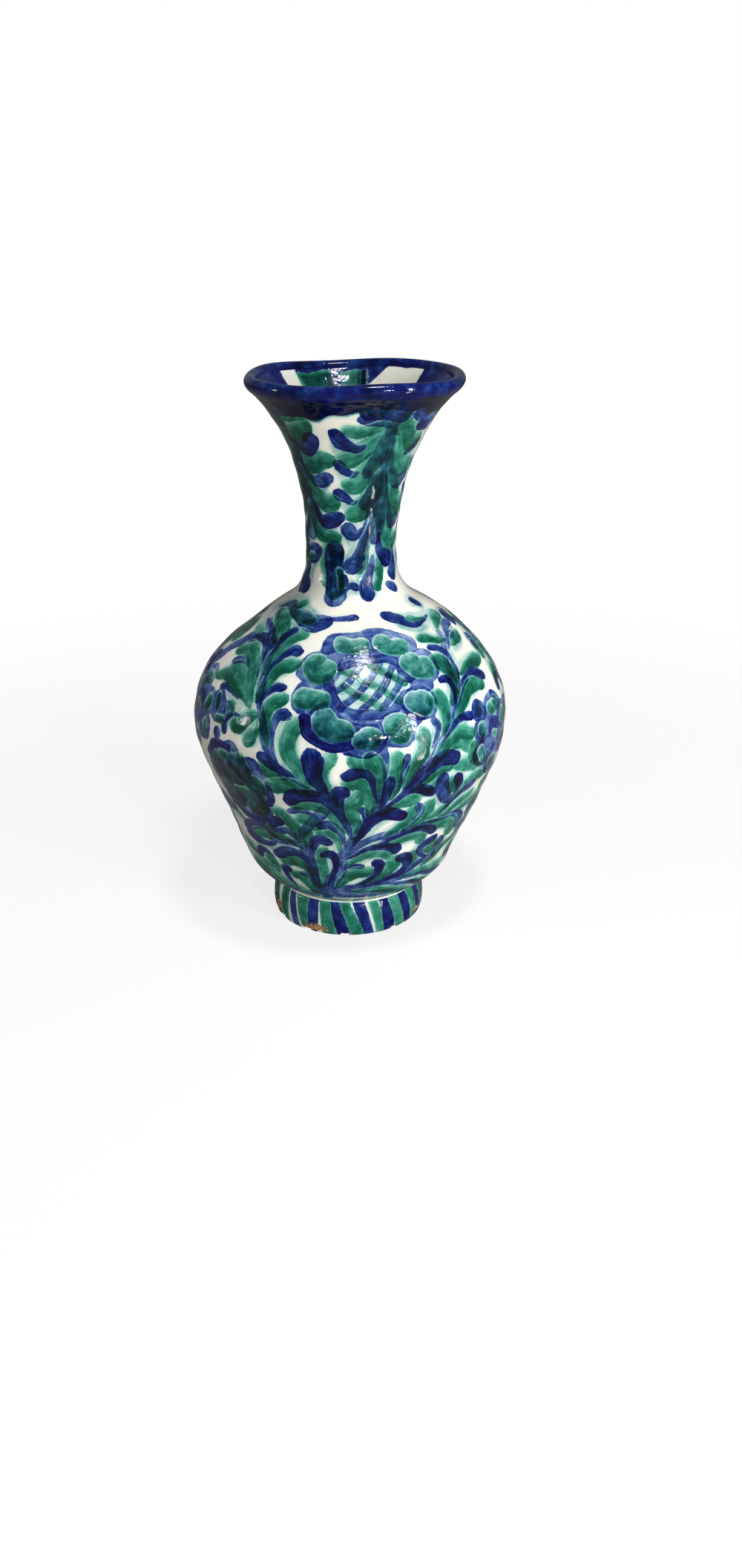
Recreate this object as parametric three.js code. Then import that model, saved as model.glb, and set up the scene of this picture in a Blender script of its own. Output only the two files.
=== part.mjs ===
// A footed pottery vase with a round belly and a trumpet neck, thrown on the wheel in sections.
// The sections are luted together: each meeting edge is cut to a vee, and a ring of clay slip fills the joint.
// Millimetres, +Z up. The origin is the middle of the foot's resting face.
import * as THREE from "three";
import { mergeVertices } from "three/addons/utils/BufferGeometryUtils.js";

// Heights above the table
const height = 300;
const footHeight = 19.4;
const haunchHeight = 37.5;
const flankHeight = 97;
const bellyHeight = 120;
const shoulderHeight = 171.8;
const throatHeight = 211;
const bellySeamHeight = 111;
const neckSeamHeight = 187;

// Outside radii
const restRadius = 41.2;
const footRadius = 43.4;
const footTopRadius = 41.3;
const waistRadius = 40.7;
const haunchRadius = 57.2;
const flankRadius = 80.7;
const bellyRadius = 85.6;
const shoulderRadius = 53.7;
const throatRadius = 23.4;
const mouthRadius = 56.6;

// Directions of the wall, as the radius gained for each millimetre of height
const waistSpread = 1.35;
const shoulderSpread = -1.16;
const mouthSpread = 0.78;

// Wall, floor and joint thicknesses
const haunchWall = 8;
const bellyWall = 6.5;
const throatWall = 5;
const mouthWall = 5;
const floorThickness = 8.5;
const footRingWidth = 10.5;
const footRingTaper = 2.5;
const footEdge = 0.9;
const lipRoll = 3.3;
const slipThickness = 0.8;
const jointClearance = 0.3;
const veeShare = 0.24;

// The potter's finger marks, a spiral that climbs the inside of the wall
const fingerPitch = 21;
const fingerDepth = 0.8;
const fingerFade = 14;

// The coil pressed over the belly joint on the inside
const coilHalfWidth = 7;
const coilThickness = 3.4;

// Facets
const turns = 48;
const outsideStep = 8.6;
const insideStep = 5.8;

const tinWhite = new THREE.MeshStandardMaterial({ color: 0xb9c4b4, roughness: 0.12, metalness: 0 });
const greenStripes = new THREE.MeshStandardMaterial({ color: 0x4f7f6e, roughness: 0.14, metalness: 0 });
const leafyBlueGreen = new THREE.MeshStandardMaterial({ color: 0x3c6676, roughness: 0.12, metalness: 0 });
const leafyGreen = new THREE.MeshStandardMaterial({ color: 0x46706c, roughness: 0.12, metalness: 0 });
const cobalt = new THREE.MeshStandardMaterial({ color: 0x24276b, roughness: 0.1, metalness: 0 });
const bareClay = new THREE.MeshStandardMaterial({ color: 0xc9a27a, roughness: 0.85, metalness: 0 });

const jointGap = slipThickness + 2 * jointClearance;
const waistHeight = footHeight + jointGap;

// The lip is a roll of clay that sits on the end of the neck's wall, square to it.
const mouthRun = new THREE.Vector2(mouthSpread, 1).normalize();
const mouthOut = new THREE.Vector2(mouthRun.y, -mouthRun.x);
const lipCentre = new THREE.Vector2(mouthRadius - lipRoll, height - lipRoll);
const lipSeat = Math.sqrt(lipRoll ** 2 - (mouthWall / 2) ** 2);
const neckEnd = lipCentre
  .clone()
  .addScaledVector(mouthRun, -(lipSeat + jointGap / 2))
  .addScaledVector(mouthOut, mouthWall / 2);

// A cubic from one point and direction to another, with handles that are shares of the distance between them.
function sweep(from, fromRun, to, toRun, fromShare, toShare) {
  const span = from.distanceTo(to);
  const leave = from.clone().addScaledVector(fromRun.clone().normalize(), span * fromShare);
  const arrive = to.clone().addScaledVector(toRun.clone().normalize(), -span * toShare);
  return new THREE.CubicBezierCurve(from, leave, arrive, to);
}

// The outside of the wall in section, from the waist above the foot up to the lip: x is the radius, y the height.
function outsideWall() {
  const waist = new THREE.Vector2(waistRadius, waistHeight);
  const haunch = new THREE.Vector2(haunchRadius, haunchHeight);
  const flank = new THREE.Vector2(flankRadius, flankHeight);
  const belly = new THREE.Vector2(bellyRadius, bellyHeight);
  const shoulder = new THREE.Vector2(shoulderRadius, shoulderHeight);
  const throat = new THREE.Vector2(throatRadius, throatHeight);
  const upright = new THREE.Vector2(0, 1);
  const flankRun = flank.clone().sub(haunch);
  const shoulderRun = new THREE.Vector2(shoulderSpread, 1);
  const path = new THREE.CurvePath();
  path.add(sweep(waist, new THREE.Vector2(waistSpread, 1), haunch, flankRun, 0.36, 0.3));
  path.add(new THREE.LineCurve(haunch, flank));
  path.add(sweep(flank, flankRun, belly, upright, 0.38, 0.22));
  path.add(sweep(belly, upright, shoulder, shoulderRun, 0.43, 0.33));
  path.add(sweep(shoulder, shoulderRun, throat, upright, 0.5, 0.57));
  path.add(sweep(throat, upright, neckEnd, mouthRun, 0.63, 0.08));
  return path;
}
const wall = outsideWall();
const wallLength = wall.getLength();

// How far along the wall a height lies. The wall only ever climbs.
function runAt(level) {
  let low = 0;
  let high = wallLength;
  for (let i = 0; i < 40; i++) {
    const middle = (low + high) / 2;
    if (wall.getPointAt(middle / wallLength).y < level) low = middle;
    else high = middle;
  }
  return (low + high) / 2;
}
const haunchRun = runAt(haunchHeight);
const bellyRun = runAt(bellyHeight);
const throatRun = runAt(throatHeight);

function wallThickness(run) {
  const stops = [0, haunchRun, bellyRun, throatRun, wallLength];
  const sizes = [haunchWall, haunchWall, bellyWall, throatWall, mouthWall];
  let i = 1;
  while (i < stops.length - 1 && run > stops[i]) i++;
  const share = THREE.MathUtils.clamp((run - stops[i - 1]) / (stops[i] - stops[i - 1]), 0, 1);
  return sizes[i - 1] + (sizes[i] - sizes[i - 1]) * share;
}

// The point that lies so far along the wall, so deep under its outside, and then so far on in the wall's direction.
function inWall(run, depth, onward = 0) {
  const share = Math.min(Math.max(run / wallLength, 0), 1);
  const along = wall.getTangentAt(share);
  return wall
    .getPointAt(share)
    .addScaledVector(new THREE.Vector2(-along.y, along.x), depth)
    .addScaledVector(along, onward);
}

// A stretch of the wall at one share of its thickness, as evenly spaced points with both ends.
function stretch(fromRun, toRun, thicknessShare, step) {
  const count = Math.max(2, Math.round(Math.abs(toRun - fromRun) / step));
  return Array.from({ length: count + 1 }, (_, i) => {
    const run = fromRun + ((toRun - fromRun) * i) / count;
    return inWall(run, wallThickness(run) * thicknessShare);
  });
}

// The vee across a joint, from the outside in: offset is how far from the joint's middle this face stands.
function vee(run, offset) {
  const thickness = wallThickness(run);
  const depth = thickness * veeShare;
  return [
    inWall(run, 0, offset),
    inWall(run, thickness / 2, offset - depth),
    inWall(run, thickness, offset),
  ];
}

// Turns a closed section round the axis. A marked point moves with the angle by the vector that its mark gives.
function turned(name, points, material, marks = new Map()) {
  const loop = points[0].x === 0 ? points : [...points, points[0]];
  const geometry = new THREE.LatheGeometry(loop, turns);
  const position = geometry.getAttribute("position");
  marks.forEach((mark, j) => {
    for (let i = 0; i <= turns; i++) {
      const angle = (i / turns) * 2 * Math.PI;
      const moved = points[j].clone().add(mark(angle));
      position.setXYZ(i * loop.length + j, moved.x * Math.sin(angle), moved.y, moved.x * Math.cos(angle));
    }
  });
  geometry.deleteAttribute("normal");
  geometry.deleteAttribute("uv");
  const closed = mergeVertices(geometry, 1e-4);
  closed.rotateX(Math.PI / 2);
  closed.computeVertexNormals();
  const mesh = new THREE.Mesh(closed, material);
  mesh.name = name;
  return mesh;
}

// One finger mark's push into the wall, which dies away near the joints.
function fingerMark(run, fromRun, toRun) {
  const edge = Math.min(Math.abs(run - fromRun), Math.abs(toRun - run));
  const strength = THREE.MathUtils.smoothstep(edge, fingerFade * 0.6, fingerFade);
  const outward = inWall(run, 0).sub(inWall(run, 1));
  return (angle) =>
    outward
      .clone()
      .multiplyScalar(strength * fingerDepth * (0.5 - 0.5 * Math.cos((run / fingerPitch) * 2 * Math.PI - angle)));
}

// The inside of a thrown section, from one joint down to the other, with its finger marks by place in the section.
function insideWall(fromRun, toRun, place) {
  const points = stretch(fromRun, toRun, 1, insideStep);
  const marks = new Map();
  points.forEach((_, i) => {
    const run = fromRun + ((toRun - fromRun) * i) / (points.length - 1);
    marks.set(place + i, fingerMark(run, fromRun, toRun));
  });
  return { points, marks };
}

// The joint under the floor is flat: a vee round the foot ring's top face.
const ringInside = footTopRadius - footRingWidth;
const ringMiddle = (footTopRadius + ringInside) / 2;
const footVee = footRingWidth * veeShare * 0.6;
function flatVee(level) {
  return [
    new THREE.Vector2(footTopRadius, level),
    new THREE.Vector2(ringMiddle, level - footVee),
    new THREE.Vector2(ringInside, level),
  ];
}

function footRing() {
  const foot = new THREE.CubicBezierCurve(
    new THREE.Vector2(restRadius + footEdge, footEdge),
    new THREE.Vector2(footRadius, footHeight * 0.22),
    new THREE.Vector2(footRadius + 0.5, footHeight * 0.62),
    new THREE.Vector2(footTopRadius, footHeight),
  );
  const ringBottom = ringInside + footRingTaper;
  return turned(
    "foot_ring",
    [
      new THREE.Vector2(ringBottom + footEdge, 0),
      new THREE.Vector2(restRadius, 0),
      ...foot.getPoints(6).slice(0, -1),
      ...flatVee(footHeight),
      new THREE.Vector2(ringBottom, footEdge),
    ],
    greenStripes,
  );
}

function footSlip() {
  return turned(
    "foot_slip_ring",
    [...flatVee(footHeight + jointClearance).reverse(), ...flatVee(waistHeight - jointClearance)],
    bareClay,
  );
}

const bellySeam = runAt(bellySeamHeight);
const neckSeam = runAt(neckSeamHeight);
const lipSeam = wallLength;

function baseBowl() {
  const floorTop = waistHeight + floorThickness;
  const turnIn = inWall(haunchRun, haunchWall);
  const floorEdge = new THREE.Vector2(waistRadius - haunchWall * 0.4, floorTop);
  const bend = new THREE.QuadraticBezierCurve(
    turnIn,
    new THREE.Vector2(turnIn.x - (turnIn.y - floorTop) * 0.45, floorTop + 0.6),
    floorEdge,
  );
  const outside = [
    new THREE.Vector2(0, waistHeight),
    ...flatVee(waistHeight).reverse(),
    ...stretch(0, haunchRun, 0, 4.4).slice(1),
    ...stretch(runAt(flankHeight), bellySeam - outsideStep / 3, 0, outsideStep),
    ...vee(bellySeam, -jointGap / 2),
  ];
  const inside = insideWall(bellySeam - insideStep, haunchRun, outside.length);
  const section = [
    ...outside,
    ...inside.points,
    ...bend.getPoints(4).slice(1),
    new THREE.Vector2(0, floorTop),
  ];
  return turned("base_bowl", section, leafyBlueGreen, inside.marks);
}

// A section between two joints: up the outside, over the upper joint, down the inside and across the lower joint.
function thrownSection(name, lowerSeam, upperSeam, step, material) {
  const outside = [
    ...stretch(lowerSeam + step / 2, upperSeam - step / 2, 0, step),
    ...vee(upperSeam, -jointGap / 2),
  ];
  const inside = insideWall(upperSeam - insideStep, lowerSeam + insideStep, outside.length);
  const section = [...outside, ...inside.points, ...vee(lowerSeam, jointGap / 2).reverse()];
  return turned(name, section, material, inside.marks);
}

function slipRing(name, seam) {
  const side = slipThickness / 2;
  return turned(name, [...vee(seam, -side).reverse(), ...vee(seam, side)], bareClay);
}

// The roll stands on a vee at its seat, and its arc runs from the outside of the wall over the top to the inside.
function lipCoil() {
  const seat = vee(lipSeam, jointGap / 2);
  const away = seat[0].clone().sub(lipCentre).angle() - 2 * Math.PI;
  const back = seat[2].clone().sub(lipCentre).angle();
  const steps = 11;
  const roll = Array.from({ length: steps - 1 }, (_, i) => {
    const angle = away + ((back - away) * (i + 1)) / steps;
    return lipCentre.clone().add(new THREE.Vector2(Math.cos(angle), Math.sin(angle)).multiplyScalar(lipRoll));
  });
  return turned("lip_coil", [seat[0], ...roll, seat[2], seat[1]], cobalt);
}

// The coil lies on the inside of the wall and is thumbed down to thin edges.
function bellyCoil() {
  const thickness = wallThickness(bellySeam);
  const back = [-1, 0, 1].map((side) =>
    inWall(bellySeam + side * coilHalfWidth, thickness + jointClearance),
  );
  const crown = [0.55, -0.55].map((side) =>
    inWall(bellySeam + side * coilHalfWidth, thickness + jointClearance + coilThickness),
  );
  return turned("belly_seam_coil", [...back, ...crown], bareClay);
}

const vase = new THREE.Group();
vase.add(
  footRing(),
  footSlip(),
  baseBowl(),
  slipRing("belly_slip_ring", bellySeam),
  bellyCoil(),
  thrownSection("shoulder_dome", bellySeam, neckSeam, outsideStep, tinWhite),
  slipRing("neck_slip_ring", neckSeam),
  thrownSection("trumpet_neck", neckSeam, lipSeam, outsideStep, leafyGreen),
  slipRing("lip_slip_ring", lipSeam),
  lipCoil(),
);

export default vase;
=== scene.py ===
# A footed pottery vase in tin glaze, painted by brush with blue and green leaves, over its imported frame.
import math

import bpy
import numpy as np
from bpy.props import FloatProperty, FloatVectorProperty, IntProperty, PointerProperty
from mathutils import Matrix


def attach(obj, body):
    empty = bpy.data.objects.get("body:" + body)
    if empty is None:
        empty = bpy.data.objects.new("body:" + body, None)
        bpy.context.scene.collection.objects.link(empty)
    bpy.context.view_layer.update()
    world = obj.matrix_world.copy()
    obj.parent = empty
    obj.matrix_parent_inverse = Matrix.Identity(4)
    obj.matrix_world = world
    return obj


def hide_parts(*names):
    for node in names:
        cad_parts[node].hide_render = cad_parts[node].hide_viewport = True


bl_info = {
    "name": "Painted Pottery Vase",
    "version": (1, 0, 0),
    "blender": (4, 5, 0),
    "location": "View3D > Sidebar > Vase",
    "description": "Turns, glazes and paints a footed vase with a trumpet neck",
    "category": "Object",
}

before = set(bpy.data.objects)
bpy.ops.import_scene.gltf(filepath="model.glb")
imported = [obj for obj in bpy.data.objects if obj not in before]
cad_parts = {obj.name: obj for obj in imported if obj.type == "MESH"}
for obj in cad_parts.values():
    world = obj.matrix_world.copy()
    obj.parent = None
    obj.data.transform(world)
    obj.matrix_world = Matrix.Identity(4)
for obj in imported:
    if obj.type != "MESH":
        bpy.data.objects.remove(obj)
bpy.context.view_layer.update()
MM = 0.001


def linear(text):
    """An sRGB hex colour as the linear values that Blender works in."""
    parts = [int(text[i : i + 2], 16) / 255 for i in (0, 2, 4)]
    return [c / 12.92 if c <= 0.04045 else ((c + 0.055) / 1.055) ** 2.4 for c in parts]

def length(name, description, metres):
    return FloatProperty(name=name, description=description, default=metres, unit="LENGTH")


class VaseSizes(bpy.types.PropertyGroup):
    foot_radius: length("Foot Radius", "Widest part of the foot ring", 0.0434)
    belly_radius: length("Belly Radius", "Widest part of the vase", 0.0856)
    throat_radius: length("Throat Radius", "Narrowest part of the neck", 0.0234)
    mouth_radius: length("Mouth Radius", "Outside of the rolled lip", 0.0566)
    brush_step: length("Brush Step", "Distance between the points that hold the brushwork", 0.0008)
    turns: IntProperty(name="Turns", description="Columns round the widest sections", default=580)


def shade(name, description, text):
    return FloatVectorProperty(
        name=name, description=description, default=linear(text), size=3, min=0, max=1, subtype="COLOR"
    )


class VaseColours(bpy.types.PropertyGroup):
    tin_white: shade("Tin White", "The bare white glaze", "E1E0D6")
    tin_shade: shade("Tin Shade", "The white where the dip ran thin", "CAC8BA")
    copper_coat: shade("Copper Coat", "One full coat of the green over pure white", "388E7E")
    copper_pool: shade("Copper Pool", "The darkest that thick green gets", "041A12")
    cobalt_coat: shade("Cobalt Coat", "One full coat of the blue over pure white", "26408E")
    cobalt_pool: shade("Cobalt Pool", "The violet that thick blue pools to", "110C3A")
    buff_clay: shade("Buff Clay", "The fired clay where it is bare", "C79B6A")
    buff_dark: shade("Dark Clay", "The darker sand in the fired clay", "8E6238")
    paper: shade("Paper", "The floor under the vase", "F4F3F0")
    paper_shade: shade("Paper Shade", "What the floor throws back on the vase", "9C9A94")


# Sizes in millimetres, the same as the solids'
HEIGHT = 300.0
FOOT_HEIGHT = 19.4
SLIP_GAP = 1.4
WAIST_HEIGHT = FOOT_HEIGHT + SLIP_GAP
LIP_ROLL = 3.3
MOUTH_WALL = 5.0
HAUNCH_HEIGHT = 37.5
BELLY_SEAM = 111.0
BELLY_HEIGHT = 120.0
NECK_SEAM = 187.0
THROAT_HEIGHT = 211.0
TUCK = 0.8  # how far a section's glaze runs on past its own end at a joint
POCKET = 0.7  # how deep under the outside the slip's pocket starts
SKIN = 0.012  # how deep the glaze that runs on ends
VEE = 0.24  # how far the middle of a joint is cut back, as a share of the wall
SLIP_HALF = 0.4  # half the height of a ring of slip
FOOT_ARC = 42  # the radii at which degrees round the foot and the mouth are taken to mm
MOUTH_ARC = 46
ALL_OVER = -3.0  # a distance from the edge for colour that has no edge
FOCAL_PIXELS, FRAME_PIXELS = 1845, 2114  # the photograph's focal length and its longer side


def unit(vector):
    vector = np.asarray(vector, float)
    return vector / np.hypot(*vector)


def cubic(start, leave, arrive, end, count):
    """A fine row of points along the cubic with these ends and handles."""
    start, leave, arrive, end = np.array([start, leave, arrive, end], float)
    t = np.linspace(0, 1, count)[:, None]
    return start * (1 - t) ** 3 + 3 * leave * t * (1 - t) ** 2 + 3 * arrive * t**2 * (1 - t) + end * t**3


def sweep(start, start_run, end, end_run, start_share, end_share):
    """A cubic from one point and direction to another."""
    start, end = np.array(start, float), np.array(end, float)
    span = np.hypot(*(end - start))
    leave = start + unit(start_run) * span * start_share
    arrive = end - unit(end_run) * span * end_share
    return cubic(start, leave, arrive, end, 400)


class Wall:
    """The outside of the vase in section, from the waist up to the lip, by distance along it."""

    def __init__(self, sizes):
        upright = (0, 1)
        mouth_run = unit((0.78, 1))
        mouth_out = np.array((mouth_run[1], -mouth_run[0]))
        self.lip_centre = np.array((sizes.mouth_radius / MM - LIP_ROLL, HEIGHT - LIP_ROLL))
        seat = math.sqrt(LIP_ROLL**2 - (MOUTH_WALL / 2) ** 2) + SLIP_GAP / 2
        neck_end = self.lip_centre - mouth_run * seat + mouth_out * MOUTH_WALL / 2
        waist, haunch, flank = (40.7, WAIST_HEIGHT), (57.2, HAUNCH_HEIGHT), (80.7, 97.0)
        belly, shoulder = (sizes.belly_radius / MM, BELLY_HEIGHT), (53.7, 171.8)
        throat = (sizes.throat_radius / MM, THROAT_HEIGHT)
        flank_run = np.subtract(flank, haunch)
        stretches = (
            sweep(waist, (1.35, 1), haunch, flank_run, 0.36, 0.3),
            sweep(haunch, flank_run, flank, flank_run, 0.33, 0.33),
            sweep(flank, flank_run, belly, upright, 0.38, 0.22),
            sweep(belly, upright, shoulder, (-1.16, 1), 0.43, 0.33),
            sweep(shoulder, (-1.16, 1), throat, upright, 0.5, 0.57),
            sweep(throat, upright, neck_end, mouth_run, 0.63, 0.08),
        )
        points = np.concatenate([stretches[0]] + [stretch[1:] for stretch in stretches[1:]])
        lengths = np.hypot(*np.diff(points, axis=0).T)
        self.run = np.concatenate([[0], np.cumsum(lengths)])
        self.points = points
        tangent = np.gradient(points, self.run, axis=0)
        self.tangent = tangent / np.hypot(*tangent.T)[:, None]
        self.length = self.run[-1]
        stops = [0, self.at(HAUNCH_HEIGHT), self.at(BELLY_HEIGHT), self.at(THROAT_HEIGHT), self.length]
        self.thickness = lambda run: np.interp(run, stops, [8, 8, 6.5, 5, 5])

    def at(self, height):
        """How far along the wall a height lies."""
        return np.interp(height, self.points[:, 1], self.run)

    def radius(self, run):
        return np.interp(run, self.run, self.points[:, 0])

    def place(self, run, depth=0.0):
        """The point so far along the wall and so deep under its outside."""
        run = np.asarray(run, float)
        point = np.stack([np.interp(run, self.run, self.points[:, i]) for i in (0, 1)], -1)
        along = np.stack([np.interp(run, self.run, self.tangent[:, i]) for i in (0, 1)], -1)
        beyond = (run - np.clip(run, 0, self.length))[..., None] * along
        inward = np.stack([-along[..., 1], along[..., 0]], -1)
        return point + beyond + inward * np.asarray(depth, float)[..., None]

    def stretch(self, start, end, step, share=0.0):
        """A row of points from one place to another at one share of the wall's thickness, with both ends."""
        count = max(2, round(abs(end - start) / step))
        run = np.linspace(start, end, count + 1)
        return self.place(run, self.thickness(run) * share)


def joint(wall, run, way):
    """The end of a section under a joint (way 1) or over it (way -1), from the outside in: its glaze runs on
    to the joint, and the slip has its pocket behind."""
    thick = float(wall.thickness(run))
    side = run - way * SLIP_GAP / 2
    return np.array(
        [
            wall.place(run + way * TUCK, SKIN),
            wall.place(run, POCKET),
            wall.place(side, POCKET),
            wall.place(side - thick * VEE, thick / 2),
            wall.place(side, thick),
        ]
    )


def lip_swell(wall, run):
    """How far the wall swells outward into the rolled lip over its last 6 mm."""
    return 0.7 * np.clip(1 + (np.asarray(run, float) - wall.length) / 6, 0, 1) ** 2


def turned(name, section, columns):
    """Draws the section beside the axis as a chain of edges and turns it round the axis, as on a wheel."""
    section = np.asarray(section) * MM
    bpy.ops.object.select_all(action="DESELECT")
    bpy.ops.mesh.primitive_plane_add(size=MM)
    piece = bpy.context.object
    piece.name = piece.data.name = name
    bpy.ops.object.mode_set(mode="EDIT")
    bpy.ops.mesh.merge(type="CENTER")
    bpy.ops.transform.translate(value=(section[0][0], 0, section[0][1]))
    for step in np.diff(section, axis=0):
        bpy.ops.mesh.extrude_vertices_move(TRANSFORM_OT_translate={"value": (step[0], 0, step[1])})
    bpy.ops.object.mode_set(mode="OBJECT")
    wheel = piece.modifiers.new("wheel", "SCREW")
    wheel.axis = "Z"
    wheel.angle = 2 * math.pi
    wheel.steps = wheel.render_steps = columns
    bpy.ops.object.modifier_apply(modifier=wheel.name)
    bpy.ops.object.mode_set(mode="EDIT")
    bpy.ops.mesh.select_all(action="SELECT")
    bpy.ops.mesh.remove_doubles(threshold=2e-6)
    bpy.ops.mesh.normals_make_consistent(inside=False)
    bpy.ops.object.mode_set(mode="OBJECT")
    bpy.ops.object.shade_smooth_by_angle(angle=math.radians(40))
    return piece


def corners_of(piece):
    """The piece's points in mm, with their degrees round from the photograph's side, and their radius."""
    flat = np.empty(len(piece.data.vertices) * 3, np.float32)
    piece.data.vertices.foreach_get("co", flat)
    points = flat.reshape(-1, 3).astype(float) / MM
    return points, np.degrees(np.arctan2(points[:, 0], -points[:, 1])), np.hypot(points[:, 0], points[:, 1])


def move_corners(piece, points):
    piece.data.vertices.foreach_set("co", (points * MM).astype(np.float32).ravel())
    piece.data.update()


def off_middle(turn, middle):
    """How many degrees a bearing lies to the right of another, the short way round."""
    return (turn - middle + 180) % 360 - 180


def handmade(points):
    """The small leans and swellings of a pot thrown by hand: it is round only to about a millimetre."""
    x, y, z = points.T
    radius = np.hypot(x, y)
    turn = np.arctan2(x, -y)
    lean = np.interp(
        z,
        [0, 18, 30, 48, 75, 95, 115, 140, 160, 172, 195, 215, 260, 300],
        [0, 0.2, 0.5, 0.9, 2.2, 2.1, 1.6, 1.6, 2.8, 4.4, 2.6, 2.9, 4.2, 5.0],
    )
    swell = 0.3 * np.sin(2 * turn + 0.8 + z / 60) + 0.2 * np.sin(3 * turn - z / 41)
    rings = 0.12 * np.sin(z / 1.9 + 0.6 * np.sin(turn)) + 0.18 * np.sin(z / 5.3 + turn)
    rings += np.interp(
        z, [40, 60, 75, 95, 120, 140, 160, 175, 190], [0, 0.3, 0.5, 0.6, 0, -0.4, -0.5, -0.7, 0]
    )
    share = np.clip(z / 30, 0, 1) * np.clip(radius / 20, 0, 1)
    rim = np.clip((z - 240) / 60, 0, 1) ** 2
    squared = -1.2 * rim * np.cos(4 * turn)
    push = ((swell + rings) * share + squared) / np.maximum(radius, 1)
    tilt = 0.5 * np.sin(turn) - 0.7 * np.cos(turn) + 0.4 * np.sin(3 * turn + 0.9)
    tilt = tilt + 0.3 * np.sin(5 * turn) - 0.4
    return np.stack([x * (1 + push) + lean, y * (1 + push), z + rim * tilt], -1)


# How a stroke's width changes from its fat end to its tail
LEAF_SHAPE = ((0, 0.1, 0.3, 0.55, 0.75, 0.88, 1), (0.84, 1, 1, 0.9, 0.74, 0.58, 0.36))
BLUE_SHAPE = ((0, 0.1, 0.25, 0.5, 0.75, 1), (0.86, 1.04, 1, 0.78, 0.54, 0.26))
FAN_SHAPE = ((0, 0.12, 0.35, 0.7, 1), (0.66, 0.86, 0.96, 1.1, 1.1))
DAB_SHAPE = ((0, 1), (1, 1))

# A leaf of a spray: its share of the reach and its rise in mm at each point
CURL = ((1, 4), (0.8, 8), (0.42, 6), (0.1, -4))

# The strokes, one to a line (a line that starts with a space goes on with the stroke above it), under a
# heading that starts with leaves or dabs: the layer and the width in mm, then degrees round and height in mm
# for each point of the path. A leaf is laid down fat end first and lifts off to a thin tail, and a dab keeps
# its width.
NECK_LEFT = """
leaves of the garland at the front of the neck
B8 -13.5,275.5 -10,271 -4,268 3,267 9,268.6
G4.6 -4,277 3,275.6 10,276.4 18,277.5 25,279
b6 5,283 12,281.5 20,280 27,277
G6.2 -7.5,262.3 0,263 8,266 16,269.5 24,274
b6.2 -14,258.5 -8,256 -1,254.2 6,255
G5.6 -4,249 3,248.5 10,252 17,258 24,266 27,270
b6 -15,243 -8,241.5 -1,239 6,239.4
G5.2 -2,232.5 6,233.5 14,237 22,243 28,251
b7 -5,225 1,222.6 8,222.6 15,226
B9 1,206 5,207.5 11,212 18,220 24,230
G5 12,205 16,213 22,224 27,236
B8 17,191.5 20,196 24,202 28,210
"""
NECK_REST = """
leaves to the right
G6.6 56,270 49,269 42,271 36,275 31,281
b5 63,268 56,264 49,263.4
G6.6 64,256 56,256 48,257 41,262 35,271
b7.8 64,250 56,248.5 48,249 41,255 35,264
G7.2 70,236 61,235.5 52,237 44,242 37,252
b6.8 68,229 60,226.5 52,228 45,235 38,246
G6 68,218 60,217 52,219 45,226 39,237
B9 53,208 46,210 40,213 36,222
b7 62,199 66,206 64,214
dabs to the right
s6 15,254 20,262 25,272
s6 15,238 21,247 25,258
s6 17,223 23,231 27,244
s6.5 33,219 31,240 29,258 28,272 27,285
s5 38,222 35,240 31,256
B11 10,286 20,285.6 31,284
B9 44,285 54,282 66,281
B7 52,278 62,276.5
g6 45,280 53,277
G5.6 36,204
B5.6 57,192.6 51,193.6
G5.4 37,208 39,200 33,195
leaves to the left
G6.6 -34,279 -40,276.5 -48,274 -55,273 -61,276
B9 -33.5,272 -39,266.5 -46,265 -53,268 -60,275
G6.2 -22,261 -31,261 -40,259.5 -49,261 -57,266
b7.8 -26,250.5 -33,250 -41,249.5 -49,252 -57,259
G5.6 -21,239 -30,238.5 -39,240 -48,243 -56,250
B8.6 -17,230.5 -25,229.5 -34,228.5 -44,231 -54,240
G4.2 -18,220 -27,221 -37,222 -47,226 -56,234
B10 -50,212 -58,210 -66,209 -72,214
B8 -63,192.5 -68,196 -72,204
b4.6 6,195.4 0,195.6 -6,194
dabs to the left
s9 -61,284 -61,262 -59,240 -58,222
s6 -66,262 -66,240 -64,225
b10.6 -22,213 -20,203 -18,190.6
g10.2 -26,217.5 -22,214 -20,203 -18,194
G4.4 -13,203 -11.6,196
g4 -37,213 -36,204 -35,198
b11.2 -19.4,199 -16.6,190.6
b5.4 -8.6,199 -8,195.4
G8 -36,283 -48,283 -60,283.4
B8 -40,287 -50,286 -60,287
g6 -35,214 -34,206 -32,198
H4.6 -61,209 -56,209.5
"""
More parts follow.
